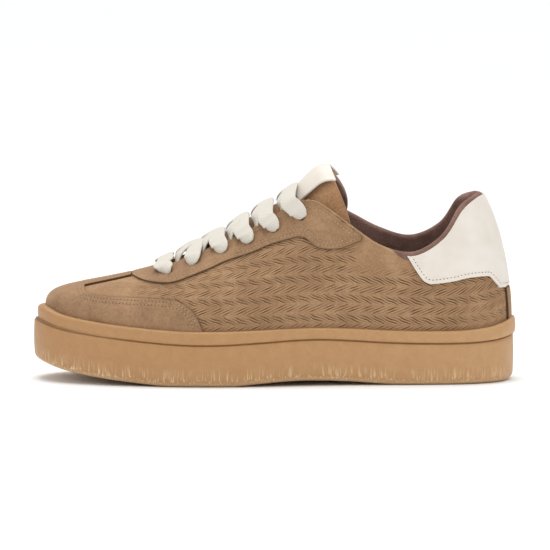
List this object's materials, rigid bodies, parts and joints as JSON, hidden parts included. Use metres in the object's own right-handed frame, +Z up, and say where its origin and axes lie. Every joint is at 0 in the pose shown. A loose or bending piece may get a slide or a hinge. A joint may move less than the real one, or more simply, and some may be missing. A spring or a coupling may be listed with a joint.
{
  "type": "low court sneaker",
  "caption": "Low court sneaker in tan embossed suede with a T-shaped toe overlay, white heel tab and label, flat laces and a gum cupsole.",
  "frame": {"origin": "on the floor under the middle of the shoe's box", "axes": "+Z up, toe to -X and heel to +X, the outer side of the foot to -Y"},
  "size_m": [0.2696, 0.0988, 0.1192],
  "materials": {
    "gum_rubber": "gum rubber, satin, lightly scuffed",
    "embossed_suede": "suede embossed with a herringbone braid",
    "suede": "plain napped suede",
    "white_leather": "smooth off-white leather",
    "lining": "woven mauve-brown textile",
    "lace_cotton": "flat woven off-white cotton"
  },
  "bodies": {
    "root": {"cupsole": "gum_rubber", "insole": "lining", "upper": "embossed_suede", "toe_cap": "suede", "eyestay": "suede", "heel_tab": "white_leather", "backstay": "suede", "tongue": "suede", "tongue_label": "white_leather", "lace_bar": "lace_cotton", "lace_cross_1": "lace_cotton", "lace_cross_2": "lace_cotton", "lace_cross_3": "lace_cotton", "lace_cross_4": "lace_cotton", "lace_cross_5": "lace_cotton"}
  },
  "joints": []
}
